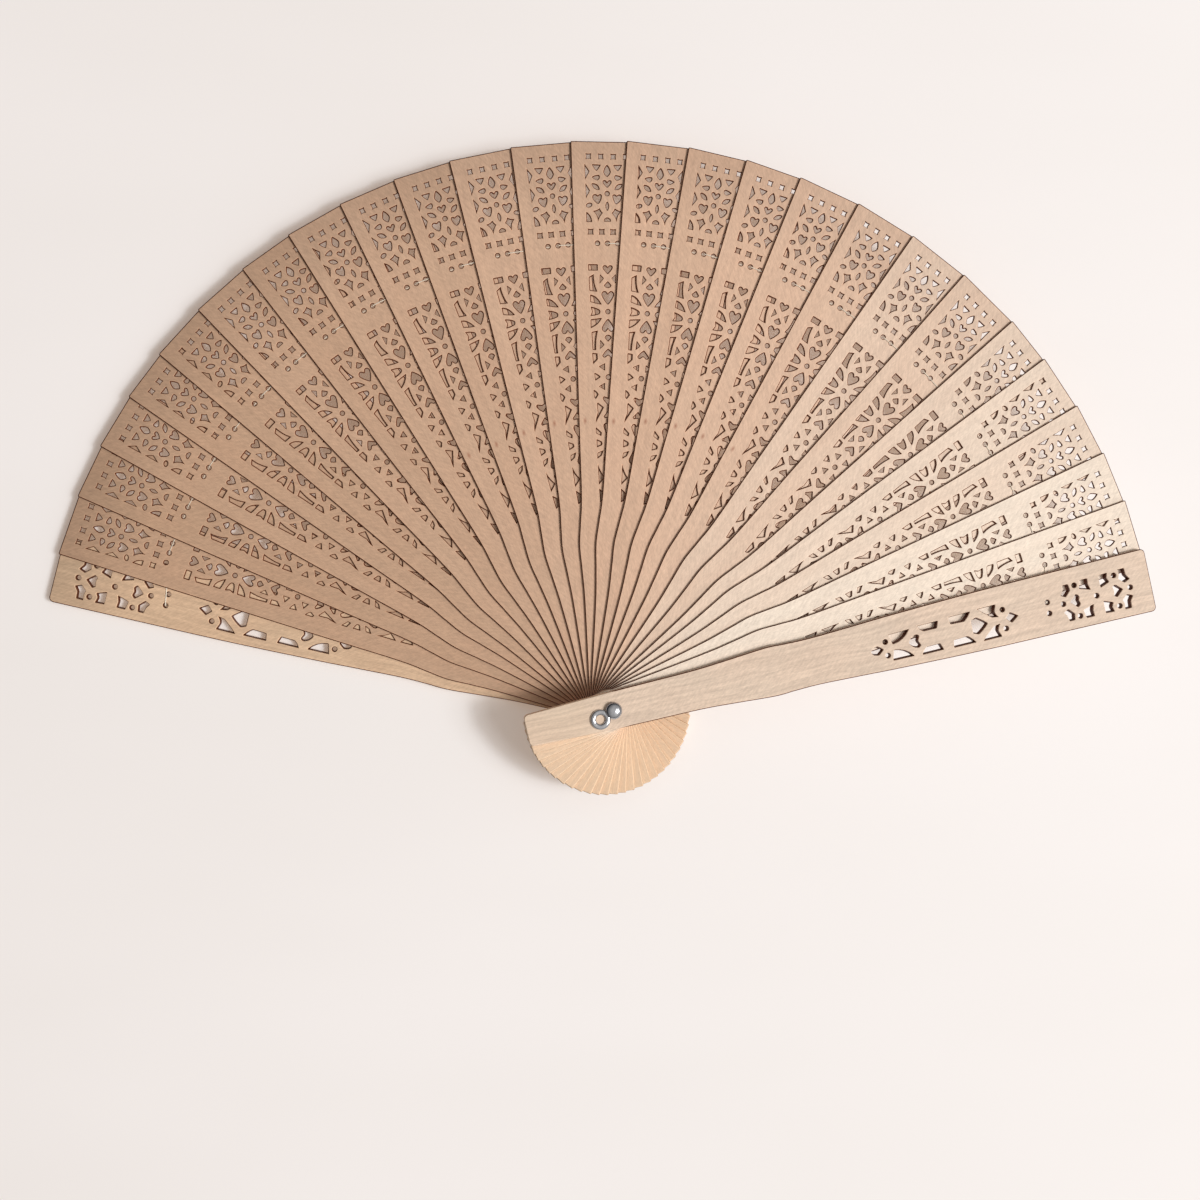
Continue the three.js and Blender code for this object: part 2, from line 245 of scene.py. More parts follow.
def slat_inner_panel():
    centre = [
        heart(133.5, 136.4, 135.7, 1.6),
        outline([(129.6, -0.9), (130.1, -1.25), (131.5, 0), (130.1, 1.25), (129.6, 0.9, 0.15)]),
        heart(124.1, 128.5, 127.5, 1.95),
        dot(122.1, 0, 0.85),
        heart(120.0, 115.8, 116.9, 1.9),
        outline([(112.8, 0), (114.1, -1.15), (114.8, -0.7, 0.15), (114.8, 0.7), (114.1, 1.15)]),
        outline([
            (108.7, 0), (107.9, -1.0, 0.15), (108.6, -1.9, 0.04), (110.8, 0, 0.04), (108.6, 1.9, 0.15),
            (107.9, 1.0),
        ], SOFT),
        dot(102.0, 0),
        outline([
            (93.3, 0, 0.05), (95.2, -1.75, 0.2), (96.1, -1.35), (95.6, 0), (96.1, 1.35, 0.2),
            (95.2, 1.75, 0.05),
        ]),
        outline([(89.3, -1.2), (89.9, -1.6), (91.8, 0), (89.9, 1.6), (89.3, 1.2, -0.08)]),
        heart(83.6, 88.0, 87.2, 1.6),
        ellipse(81.6, 0, 0.85, 0.65),
        heart(79.9, 75.5, 76.3, 1.5),
        heart(71.3, 74.1, 73.6, 1.15),
        outline([(67.0, 0, 0.25), (68.3, -1.3, 0.25), (69.8, 0, 0.25), (68.3, 1.3, 0.25)]),
    ]
    beside = [
        outline([(134.6, 3.05), (136.6, 3.05), (136.6, 6.05), (134.6, 6.05)]),
        outline([(130.6, 2.55), (132.3, 1.15), (133.6, 2.45)]),
        outline([(128.1, 3.2, -0.06), (133.6, 4.3), (132.6, 5.9), (128.4, 5.7)]),
        outline([(124.2, 1.9, 0.06), (126.6, 3.7, 0.06), (127.3, 5.5), (125.0, 5.5, 0.03)]),
        outline([(121.3, 2.6, 0.2), (122.7, 2.6, 0.05), (123.6, 5.4), (122.1, 4.9), (120.7, 5.5, 0.05)]),
        outline([(116.9, 5.4, 0.1), (120.2, 1.8), (119.7, 5.4)], SOFT),
        outline([(110.2, 3.7, -0.04), (116.3, 3.1), (115.8, 5.15), (110.3, 4.85)]),
        outline([(110.5, 2.6), (111.9, 1.1), (113.5, 2.5)]),
        outline([(105.9, 4.7), (107.4, 3.2), (109.3, 3.3), (109.4, 5.0)]),
        outline([(103.9, 1.0), (106.3, 1.0), (105.2, 3.0)]),
        outline([(100.8, 4.1), (102.0, 2.3, 0.08), (103.3, 4.35)]),
        outline([(97.9, 1.05), (100.3, 1.05), (99.1, 3.0)]),
        outline([(95.2, 3.9), (96.6, 3.0, 0.1), (98.1, 4.6), (95.7, 4.5)]),
        outline([(87.9, 4.0), (92.7, 1.4), (94.2, 3.4), (93.6, 3.6), (91.0, 3.35, 0.04)]),
        outline([(83.8, 2.3), (84.9, 2.1), (86.6, 4.0), (84.7, 4.0)]),
        outline([(80.3, 3.7), (81.0, 2.1, 0.15), (82.2, 2.2), (82.9, 3.8)]),
        outline([(76.8, 3.6), (77.8, 2.2), (79.5, 1.6), (78.7, 3.5)]),
        outline([(68.8, 3.15), (71.1, 1.2, -0.06), (75.2, 3.4)], SHARP),
        outline([(63.4, 2.8), (63.9, 1.75), (66.4, 1.4), (67.7, 3.1)]),
    ]
    return centre + both(beside)


def slat_holes():
    offset = Vector((0, SLAT_MOTIF_OFFSET))
    openings = slat_outer_panel() + slat_squares_and_dots() + slat_inner_panel()
    return [[point + offset for point in loop] for loop in openings]


# ---- the guards' fretwork -------------------------------------------------------


def guard_motif_line(x):
    """The line in a front guard that its motif is symmetric about."""
    return GUARD_MOTIF_OFFSET + GUARD_MOTIF_SLOPE * (x - GUARD_MOTIF_MIDDLE)


def guard_holes(side):
    """side is 1 for the front guard and -1 for the back guard, which is a front guard turned over."""
    dots = [
        (144.8, 0), (149.4, 4.9), (149.4, -4.9), (155.9, 0), (162.6, 4.9), (162.6, -4.9), (167.1, 0),
        (125.2, 3), (125.2, -3), (86.7, 2.15), (86.7, -2.15), GUARD_DOT, (GUARD_DOT[0], -GUARD_DOT[1]),
    ]
    on_line = [
        outline([
            (147, 0), (149.3, -2.1, 0.1), (150.3, -1.1), (149.9, 0), (150.3, 1.1, 0.1), (149.3, 2.1),
        ], SOFT),
        outline([(161.4, -1.4), (162.4, -2.05), (164.7, 0), (162.4, 2.05), (161.4, 1.4, -0.12)], SOFT),
        outline([(125.7, 0), (127.4, -1.7), (129.9, 0), (127.4, 1.7)], SOFT),
        outline([(114.6, -2), (116.3, -2.7, 0.04), (119.8, 0, 0.04), (116.3, 2.7), (114.6, 2)], SOFT),
        outline([
            (93.9, 0, 0.06), (95.4, -1.7), (96.5, -2.1, 0.15), (97.6, -1.4), (96.9, 0), (97.6, 1.4, 0.15),
            (96.5, 2.1), (95.4, 1.7, 0.06),
        ], SOFT),
        outline([(82.4, -1.1), (84, -1.45), (85.8, 0), (84, 1.45), (82.4, 1.1, 0.3)], 0.4),
    ]
    beside_line = [
        outline([(144.4, 2.7), (146, 1.9), (147.8, 3.7), (147.5, 5.75), (145.7, 5.75), (145.3, 3.9)], SOFT),
        outline([(150.8, 3.4), (154.4, 2.3), (153.8, 4.2), (154, 6.05), (151.3, 6.05)], SOFT),
        outline([(157.7, 2.1), (160.8, 3.25), (160.1, 4.6), (160.6, 6.2), (157.7, 6.05)], SOFT),
        outline([
            (163.9, 3.4), (165.6, 1.85), (167.5, 2.65), (166.4, 4.2), (166.3, 6.35), (164.1, 6.4),
            (164.4, 4.8),
        ], SOFT),
        outline([
            (117.3, 5.1), (118.7, 3.7), (121.5, 1.4), (123.7, 1.05, -0.1), (122.6, 3.1), (123.4, 5.1),
        ], SOFT),
        outline([(107.7, 4.85), (108.1, 2.5), (112.5, 2.3, 0.05), (115, 4.9)], SOFT),
        outline([(97.4, 4.55), (98.2, 3.3), (99.2, 2.45), (103.6, 2.4), (104.4, 4.6)], SOFT),
        outline([(88, 4.1), (88.9, 0.85, 0.12), (94.9, 4.25)], SOFT),
    ]
    loops = [dot(x, y) for x, y in dots] + on_line + both(beside_line)
    return [[Vector((p.x, side * (p.y + guard_motif_line(p.x)))) for p in loop] for loop in loops]


# ---- pierced sheets -------------------------------------------------------------

MITRE_LIMIT = 0.6  # keeps a sharp corner from being drawn in too far
UNDER_BEVEL = 0.05
MOST_TAPER = 0.6  # share of an opening's narrowness
MERGE_WITHIN = 1e-7

# How dark a sawn wall is painted, at its top and its foot: 0 or less is bare, 1 is darkest. The dark is
# partly scorch and partly painted shade: along the sticks' edges it stands for the shadow in the gap beneath,
# and in the holes it deepens towards the foot as shade does.
RIM_SCORCH_AND_SHADE = (1.0, -1.0)
HOLE_SCORCH_AND_SHADE = (0.3, 1.0)
HIGHLIGHT_CUT = 0.2  # painted highlight: the walls behind the rivet, whose edges face the light, are painted pale at this value of cut, and every chamfer passes through it


def signed_area(loop):
    return sum(a.x * b.y - b.x * a.y for a, b in zip(loop, loop[1:] + loop[:1])) / 2


def drawn_in(loop, distance):
    """The loop moved to its left by distance, which is into the sheet."""
    moved = []
    for number, point in enumerate(loop):
        before = (point - loop[number - 1]).normalized()
        after = (loop[(number + 1) % len(loop)] - point).normalized()
        middle = (before + after).normalized()
        left = Vector((-middle.y, middle.x))
        reach = distance / max(MITRE_LIMIT, left.dot(Vector((-after.y, after.x))))
        moved.append(point + left * reach)
    return moved


def stick_loop(half_widths, corner):
    """A stick's outline: square ends with rounded corners, and sides that curve through half_widths."""
    last = len(half_widths) - 1
    points = [Vector(pair) for pair in half_widths]
    left = []
    for number in range(last):
        p0, p1, p2 = points[max(0, number - 1)], points[number], points[number + 1]
        p3 = points[min(last, number + 2)]
        steps = 1 if number in (0, last - 1) else SIDE_STEPS
        for step in range(steps):
            t = step / steps
            left.append(0.5 * (
                2 * p1 + (p2 - p0) * t + (2 * p0 - 5 * p1 + 4 * p2 - p3) * t * t
                + (3 * p1 - p0 - 3 * p2 + p3) * t ** 3
            ))
    left = left[1:]
    right = [Vector((point.x, -point.y)) for point in left]
    (butt_x, butt), (tip_x, tip) = half_widths[0], half_widths[last]
    loop = corner_arc(butt_x, -butt, corner, 180) + right + corner_arc(tip_x, -tip, corner, 270)
    return loop + corner_arc(tip_x, tip, corner, 0) + left[::-1] + corner_arc(butt_x, butt, corner, 90)


def corner_arc(x, y, radius, start):
    """A quarter turn inside the corner at x, y that begins at angle start."""
    centre = Vector((x - math.copysign(radius, x), y - math.copysign(radius, y)))
    steps = 5
    angles = [math.radians(start + 90 * step / steps) for step in range(steps + 1)]
    return [centre + Vector((math.cos(a), math.sin(a))) * radius for a in angles]


def narrowness(loop):
    """Area over perimeter: half the width of a long opening, and half the radius of a round one."""
    perimeter = sum((b - a).length for a, b in zip(loop, loop[1:] + loop[:1]))
    return abs(signed_area(loop)) / perimeter


def sheet_mesh(name, rim, holes, thickness, rim_bevel, bevel, taper=0.0, crown=None, inner=()):
    """A flat plate in millimetres, pierced and with bevelled edges, as a mesh in metres on z = 0.

    The bevels are rim_bevel and bevel wide, and both go bevel deep. Holes narrow downward by taper on each
    side. crown(point), if given, is the height of the upper face; inner are the extra points that it needs.

    "stick_at" holds each vertex's place in millimetres. "cut" is how a wall is painted: towards 1 it is
    darker, partly scorch and partly painted shade, and at small values above 0 it is paler, a painted
    highlight; it is 0 on the faces."""
    loops = [rim if signed_area(rim) > 0 else rim[::-1]]
    loops += [hole if signed_area(hole) < 0 else hole[::-1] for hole in holes]
    bevels = [rim_bevel] + [bevel] * len(holes)
    tapers = [0.0] + [min(taper, MOST_TAPER * narrowness(hole)) for hole in holes]
    flat = [point for loop, width in zip(loops, bevels) for point in drawn_in(loop, width)]
    wall_top = [point for loop in loops for point in loop]
    wall_foot = [point for loop, slope in zip(loops, tapers) for point in drawn_in(loop, -slope)]
    under = [point for loop, slope in zip(loops, tapers) for point in drawn_in(loop, UNDER_BEVEL - slope)]
    rings, begin = [], 0
    for loop in loops:
        rings.append(list(range(begin, begin + len(loop))))
        begin += len(loop)
    all_one_way = rings[:1] + [ring[::-1] for ring in rings[1:]]
    inside_only = 1
    spots, _, triangles, sources, _, owners = delaunay_2d_cdt(
        flat + list(inner), [], all_one_way, inside_only, MERGE_WITHIN)
    # a triangle belongs to the plate if only the rim, ring 0, goes round it
    caps = [tri for tri, owner in zip(triangles, owners) if list(owner) == [0]]
    order = [source[0] if source else None for source in sources]

    def top(point):
        return crown(point) if crown else thickness

    count, total = len(flat), len(spots)
    place = {source: number for number, source in enumerate(order) if source is not None}
    feet = [
        under[source] if source is not None and source < count else spot
        for source, spot in zip(order, spots)
    ]
    verts = [(p.x, p.y, top(p)) for p in spots] + [(p.x, p.y, 0) for p in feet]
    verts += [(p.x, p.y, top(p) - bevel) for p in wall_top]
    verts += [(p.x, p.y, UNDER_BEVEL) for p in wall_foot]
    upper, lower = 2 * total, 2 * total + count
    faces = [tuple(tri) for tri in caps] + [tuple(total + v for v in tri[::-1]) for tri in caps]
    cut = [0.0] * (2 * total + 2 * count)
    normals = [Vector((0, 0, 1))] * total + [Vector((0, 0, -1))] * total + [None] * (2 * count)
    for ring, slope in zip(rings, tapers):
        # The rims are painted dark at their top edge and the holes at their foot: partly scorch, partly
        # painted shade
        wall_scorch_and_shade = RIM_SCORCH_AND_SHADE if ring is rings[0] else HOLE_SCORCH_AND_SHADE
        for here, there, before in zip(ring, ring[1:] + ring[:1], ring[-1:] + ring[:-1]):
            faces.append((lower + here, lower + there, upper + there, upper + here))
            faces.append((upper + here, upper + there, place[there], place[here]))
            faces.append((total + place[here], total + place[there], lower + there, lower + here))
            along = wall_top[there] - wall_top[before]
            out = Vector((along.y, -along.x, 0)).normalized() * thickness + Vector((0, 0, slope))
            normals[upper + here] = normals[lower + here] = out.normalized()
            # Behind the rivet the walls get the painted highlight, not the scorch and painted shade
            behind_rivet = wall_top[here].x < RIVET_HOLE_RADIUS
            cut[upper + here], cut[lower + here] = (HIGHLIGHT_CUT, HIGHLIGHT_CUT) if behind_rivet else wall_scorch_and_shade
    mesh = bpy.data.meshes.new(name)
    mesh.from_pydata([tuple(c * MM for c in vert) for vert in verts], [], faces)
    mesh.attributes.new("stick_at", "FLOAT_VECTOR", "POINT").data.foreach_set(
        "vector", [c for vert in verts for c in vert])
    mesh.attributes.new("cut", "FLOAT", "POINT").data.foreach_set("value", cut)
    mesh.shade_smooth()
    if crown is None:
        mesh.normals_split_custom_set_from_vertices(normals)
    mesh.validate()
    return mesh


# ---- materials ------------------------------------------------------------------


class Shader:
    """A material being built: its Principled BSDF, and short ways to add and join nodes."""

    def __init__(self, name):
        self.material = bpy.data.materials.new(name)
        self.material.use_nodes = True
        self.nodes = self.material.node_tree.nodes
        self.links = self.material.node_tree.links
        self.surface = self.nodes["Principled BSDF"]

    def add(self, kind, inputs=(), **settings):
        node = self.nodes.new("ShaderNode" + kind)
        for key, value in settings.items():
            setattr(node, key, value)
        for key, value in dict(inputs).items():
            self.feed(node.inputs[key], value)
        return node

    def feed(self, socket, value):
        if isinstance(value, bpy.types.NodeSocket):
            self.links.new(value, socket)
        else:
            socket.default_value = value

    def set(self, **inputs):
        for key, value in inputs.items():
            self.feed(self.surface.inputs[key.replace("_", " ")], value)

    def attribute(self, name, kind="GEOMETRY"):
        return self.add("Attribute", attribute_name=name, attribute_type=kind)

    def math(self, operation, a, b=0.0, clamp=False):
        return self.add("Math", {0: a, 1: b}, operation=operation, use_clamp=clamp).outputs[0]

    def noise(self, place, scale, turn=0, detail=4, w=0.0):
        """4D noise on place, which is stretched by scale along each axis after a turn about z."""
        rotation = (0, 0, math.radians(turn))
        mapping = self.add("Mapping", {"Vector": place, "Rotation": rotation}, vector_type="POINT")
        stretch = self.add("VectorMath", {0: mapping.outputs[0], 1: scale}, operation="MULTIPLY").outputs[0]
        noise = self.add("TexNoise", {"Vector": stretch, "W": w, "Scale": 1.0, "Detail": detail},
                         noise_dimensions="4D")
        return noise.outputs[0]

    def ramp(self, value, *stops):
        node = self.add("ValToRGB", {"Fac": value})
        elements = node.color_ramp.elements
        while len(elements) < len(stops):
            elements.new(0.5)
        for element, (position, colour) in zip(elements, stops):
            element.position = position
            element.color = colour if len(colour) == 4 else (*colour, 1)
        return node.outputs[0]

    def mix(self, share, a, b, mode="MIX"):
        """Two colours mixed. The node's colour sockets are inputs 6 and 7, and output 2."""
        node = self.add("Mix", data_type="RGBA", blend_type=mode)
        for socket, value in zip((node.inputs[0], node.inputs[6], node.inputs[7]), (share, a, b)):
            self.feed(socket, value)
        return node.outputs[2]


def linear(red, green, blue):
    """An sRGB colour in 0 to 255 as linear light, with alpha 1."""
    parts = [c / 255 for c in (red, green, blue)]
    return tuple(c / 12.92 if c <= 0.04045 else ((c + 0.055) / 1.055) ** 2.4 for c in parts) + (1.0,)


def grey(level):
    """A neutral colour. level is linear, and over 1 it brightens what it multiplies."""
    return (level, level, level, 1.0)


SEED_STEP = 7.31  # from one stick's grain to the next one's
HANDLED_OVER = 10  # millimetres behind the rivet
MOST_HANDLED = 0.85
TIP_DARKENS_FROM, TIP_DARKEST_FROM = 0.86, 0.99  # shares of the way to the tip
TIP_SHADE = 0.76  # how dark the tips are made, less so on the paler sticks
GRAIN_RELIEF = 0.00008  # metres
EDGE_HIGHLIGHT = 1.5  # how much paler the chamfers and the walls behind the rivet are painted: a painted highlight
SCORCH_AND_SHADE_COLOUR = linear(98, 45, 17)  # the sawn walls: partly scorch, partly painted shade
SCORCH_AND_SHADE_FULL_FROM = 0.45  # values of "cut" from here up are painted fully dark, scorch and painted shade

# The pin knot, in millimetres.
PIN_KNOT_COLOUR = linear(146, 84, 56)
PIN_KNOT_SHOWS = 0.75
PIN_KNOT_HALF_LENGTH = 1.3
PIN_KNOT_HALF_WIDTH = 0.7
PIN_KNOT_FROM_CENTRELINE = 6.9
PIN_KNOT_FROM_RIVET = 88.5
PIN_KNOT_STRAYS = 0.5
NO_PIN_KNOT = -2.0 * BUTT_RADIUS  # past the end of the stick


def wood_material(name, tan, middling, pale, butt, waviness, grain):
    """Sanded pale wood. Each stick has its own number, so its own grain, and its own colour from tan to pale,
    which is partly its own tone and partly painted light: paler towards the front guard for the brighter
    light and sheen on that side.

    butt is the colour of the handled ends. grain is the strength of the long fibres, and waviness is how far
    they wander in millimetres. The noises' scales are per millimetre along, across and through the stick."""
    shader = Shader(name)
    place = shader.attribute("stick_at").outputs["Vector"]
    along, across, _ = shader.add("SeparateXYZ", {0: place}).outputs
    number = shader.attribute("stick_number", "OBJECT").outputs["Fac"]
    tone_and_light = shader.attribute("tone_and_light", "OBJECT").outputs["Fac"]
    w = shader.math("MULTIPLY", number, SEED_STEP)
    bend = shader.noise(place, (0.05, 0.1, 0.1), detail=1, w=w)
    sideways = shader.add("CombineXYZ", {"Y": shader.math("MULTIPLY", bend, waviness)}).outputs[0]
    bent = shader.add("VectorMath", {0: place, 1: sideways}, operation="ADD").outputs[0]
    fibres = shader.noise(bent, (0.06, 1.1, 1.1), detail=5, w=w)
    fine = shader.noise(place, (0.9, 4.0, 4.0), detail=4, w=w)
    sanding = shader.noise(place, (0.45, 1.9, 1.6), turn=-38, detail=3, w=w)
    blotch = shader.noise(place, (0.05, 0.12, 0.12), detail=3, w=w)
    behind = shader.math("MULTIPLY", along, -1 / HANDLED_OVER)
    behind_rivet = shader.ramp(behind, (0, grey(0.0)), (1, grey(MOST_HANDLED)))
    # Partly painted light: tan to pale by the stick's tone, paler towards the front guard for the brighter
    # light and sheen there
    colour = shader.mix(behind_rivet, shader.ramp(tone_and_light, (0, tan), (0.5, middling), (1, pale)), butt)
    outward = shader.math("DIVIDE", along, TIP_RADIUS)
    tip = shader.ramp(outward, (TIP_DARKENS_FROM, grey(0.0)), (TIP_DARKEST_FROM, grey(1.0)))
    # The tips are made darker, less so on the paler sticks
    tip_darkening = shader.math("MULTIPLY", tip, shader.math("SUBTRACT", 1.0, tone_and_light))
    colour = shader.mix(tip_darkening, colour, shader.mix(1.0, colour, grey(TIP_SHADE), "MULTIPLY"))
    cut = shader.attribute("cut").outputs["Fac"]
    # Painted highlight: the chamfers and the walls behind the rivet are made paler
    colour = shader.mix(1.0, colour, shader.ramp(cut, (0.0, grey(1.0)), (HIGHLIGHT_CUT, grey(EDGE_HIGHLIGHT))), "MULTIPLY")
    # Scorch and painted shade: the walls turn dark brown, the rims at their top edge and the holes towards
    # their foot
    scorch_and_shade_share = shader.ramp(cut, (HIGHLIGHT_CUT, grey(0.0)), (SCORCH_AND_SHADE_FULL_FROM, grey(1.0)))
    colour = shader.mix(scorch_and_shade_share, colour, SCORCH_AND_SHADE_COLOUR)
    unworn = shader.math("SUBTRACT", 1.0, behind_rivet)
    for pattern, depth, share in ((fibres, grain, 1.0), (fine, 0.1, 1.0), (sanding, 0.1, unworn)):
        shade = shader.ramp(pattern, (0.3, grey(1 - depth)), (0.7, grey(1 + depth)))
        colour = shader.mix(share, colour, shade, "MULTIPLY")
    cast = shader.ramp(blotch, (0.35, (1.01, 0.99, 0.98)), (0.65, (0.995, 1.0, 1.0)))
    colour = shader.mix(1.0, colour, cast, "MULTIPLY")
    colour = shader.mix(pin_knot(shader, along, across), colour, PIN_KNOT_COLOUR)
    shader.set(Base_Color=colour)
    shader.set(Roughness=shader.math("ADD", shader.math("MULTIPLY", fine, 0.25), 0.45))
    relief = shader.math("ADD", shader.math("MULTIPLY", fibres, 0.4), shader.math("MULTIPLY", sanding, 0.6))
    bump = shader.add("Bump", {"Strength": 0.35, "Distance": GRAIN_RELIEF, "Height": relief})
    shader.set(Normal=bump.outputs[0], Specular_IOR_Level=0.4)
    return shader.material


def pin_knot(shader, along, across):
    """How much of the pin knot shows, on the sticks cut through it: "knot" is its distance from the rivet."""
    knot = shader.attribute("knot", "OBJECT").outputs["Fac"]
    dx = shader.math("DIVIDE", shader.math("SUBTRACT", along, knot), PIN_KNOT_HALF_LENGTH)
    dy = shader.math("DIVIDE", shader.math("SUBTRACT", across, PIN_KNOT_FROM_CENTRELINE), PIN_KNOT_HALF_WIDTH)
    squares = shader.math("ADD", shader.math("MULTIPLY", dx, dx), shader.math("MULTIPLY", dy, dy))
    distance = shader.math("SQRT", squares)
    return shader.math("MULTIPLY", shader.math("SUBTRACT", 1.0, distance, clamp=True), PIN_KNOT_SHOWS)


def metal_material():
    """Polished nickel plate, with faint rubbing marks and a little dullness in patches.

    Its noises' scales, and the cotton's, are per metre."""
    shader = Shader("nickel")
    place = shader.add("TexCoord").outputs["Object"]
    smear = shader.noise(place, (900, 900, 900), detail=4)
    marks = shader.noise(place, (700, 9000, 4000), turn=25, detail=3)
    shader.set(Metallic=1.0)
    shader.set(Base_Color=shader.ramp(smear, (0.3, linear(182, 183, 189)), (0.7, linear(218, 219, 223))))
    shader.set(Roughness=shader.math("ADD", shader.math("MULTIPLY", smear, 0.16), 0.06))
    bump = shader.add("Bump", {"Strength": 0.12, "Distance": 0.00002, "Height": marks})
    shader.set(Normal=bump.outputs[0])
    return shader.material


def thread_material():
    """Undyed twisted cotton."""
    shader = Shader("cotton")
    place = shader.add("TexCoord").outputs["Object"]
    fuzz = shader.noise(place, (9000, 9000, 9000), detail=4)
    shader.set(Base_Color=shader.ramp(fuzz, (0.3, linear(226, 212, 190)), (0.7, linear(252, 245, 230))))
    shader.set(Roughness=shader.math("ADD", shader.math("MULTIPLY", fuzz, 0.2), 0.75))
    shader.set(Sheen_Weight=0.3)
    bump = shader.add("Bump", {"Strength": 0.4, "Distance": 0.00003, "Height": fuzz})
    shader.set(Normal=bump.outputs[0])
    return shader.material


# ---- sticks ---------------------------------------------------------------------

KNOTTY_SLATS = range(9, 19)
TONE_AND_LIGHT_CURVE = 1.5  # the sticks turn pale mostly at the front guard's end of the fan: partly their own tone, partly painted light, the brighter light and sheen on that side
TONE_STRAYS = 0.04


def place_piece(name, mesh, material, body, replaced, matrix=None):
    """Adds mesh as a piece that rides on body, takes material as its finish if the mesh has none, and stands
    for the replaced nodes.
    """
    piece = bpy.data.objects.new(name, mesh)
    bpy.context.scene.collection.objects.link(piece)
    if not mesh.materials:
        mesh.materials.append(material)
    if matrix is not None:
        piece.matrix_world = matrix
    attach(piece, body)
    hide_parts(*replaced)
    return piece


def make_sticks():
    slat_wood = wood_material(
        "slat_wood", tan=linear(184, 149, 121), middling=linear(210, 174, 147), pale=linear(238, 224, 207),
        butt=linear(218, 188, 156), waviness=0.6, grain=0.06,
    )
    guard_wood = wood_material(
        "guard_wood", tan=linear(206, 174, 143), middling=linear(210, 183, 157), pale=linear(214, 191, 170),
        butt=linear(214, 190, 166), waviness=3.2, grain=0.14,
    )
    slat_low, slat_high = stick_levels(1)
    guard_low, guard_high = stick_levels(0)
    rivet_hole = ellipse(0, 0, RIVET_HOLE_RADIUS, RIVET_HOLE_RADIUS, count=32)
    slat_rim = stick_loop(SLAT_HALF_WIDTHS, SLAT_CORNER)
    guard_rim = stick_loop(GUARD_HALF_WIDTHS, GUARD_CORNER)
    slat_depth = (slat_high - slat_low) / MM
    guard_depth = (guard_high - guard_low) / MM
    slat = sheet_mesh("slat_sheet", slat_rim, slat_holes() + [rivet_hole], slat_depth,
                      rim_bevel=0.42, bevel=0.13, taper=0.3)
    back, front = (
        sheet_mesh(name + "_sheet", guard_rim, guard_holes(side) + [rivet_hole], guard_depth,
                   rim_bevel=0.4, bevel=0.22, taper=0.35)
        for name, side in (("back_guard", -1), ("front_guard", 1))
    )
    for stick in range(STICK_COUNT):
        name = stick_name(stick)
        low, _ = stick_levels(stick)
        matrix = Matrix.Translation((0, 0, low)) @ Matrix.Rotation(stick_angle(stick), 4, "Z")
        mesh, wood, slot = slat, slat_wood, "slat_wood"
        if is_guard(stick):
            mesh, wood, slot = (back if stick == 0 else front), guard_wood, "guard_wood"
        piece = place_piece(name + "_pierced", mesh, wood, name, [name], matrix)
        share = stick / (STICK_COUNT - 1)
        piece["stick_number"] = float(stick)
        # Partly painted light: sticks towards the front guard are made paler for the brighter light and sheen
        # on that side
        piece["tone_and_light"] = share ** TONE_AND_LIGHT_CURVE + TONE_STRAYS * math.sin(stick * 2.4)
        knot = PIN_KNOT_FROM_RIVET + PIN_KNOT_STRAYS * math.sin(stick * 1.7)
        piece["knot"] = knot if stick in KNOTTY_SLATS else NO_PIN_KNOT


# ---- thread, in millimetres -----------------------------------------------------

# How far from the middle of a dot the thread lies flat, slopes steadily, and begins to turn.
STITCH_LEAD = 0.55
STITCH_SLOPE = 0.25
STITCH_EASE = 0.08
SPAN_END_GAP = 0.1
KNOT_RADIUS = 0.5
KNOT_THREAD_RADIUS = 0.16
KNOT_THREAD_SIDES = 8
KNOT_DROP = 2.2  # from the back guard's gap down to its knot
KNOT_RISE = 0.85  # from the front guard's gap up towards its knot
PLY_RADIUS = 0.125
PLY_SIDES = 6
PLY_OFFSET = 0.1
TWIST_PITCH = 0.9
STATIONS_PER_TWIST = 9
THREAD_FLATNESS = 0.54  # a thread pressed between two sticks is wider than it is high


def thread_hole(stick):
    """The dot that the thread uses: a slat's middle one, or the left one of a guard's pair."""
    point = Vector((SLAT_DOT_X, SLAT_MOTIF_OFFSET))
    if is_guard(stick):
        x, y = GUARD_DOT
        line = guard_motif_line(x)
        point = Vector((x, y - line if stick == 0 else y + line))
    point.rotate(Matrix.Rotation(stick_angle(stick), 2))
    return point


def span_level(stick):
    """The height in millimetres of the middle of the gap above a stick."""
    return (stick_levels(stick)[1] + stick_levels(stick + 1)[0]) / 2 / MM


def span_route(stick, length):
    """The span's route in its own frame: x along it, z = 0 in the middle of the gap."""
    drop = span_level(1) - span_level(2)
    if stick == 0:
        start = [(0, -KNOT_DROP), (0, -STITCH_LEAD), (STITCH_EASE, -STITCH_SLOPE),
                 (STITCH_SLOPE, -STITCH_EASE)]
    else:
        start = [(-STITCH_LEAD, drop), (-STITCH_SLOPE, STITCH_EASE + drop), (0, drop / 2),
                 (STITCH_SLOPE, -STITCH_EASE)]
    if stick == SLAT_COUNT:
        end = [(length - STITCH_LEAD, 0), (length - STITCH_SLOPE, STITCH_EASE),
               (length - STITCH_EASE, STITCH_SLOPE), (length, KNOT_RISE)]
    else:
        end = [(length - STITCH_LEAD - SPAN_END_GAP, 0)]
    return [Vector((x, 0, z)) for x, z in [*start, (STITCH_LEAD, 0), (length / 2, 0), *end]]


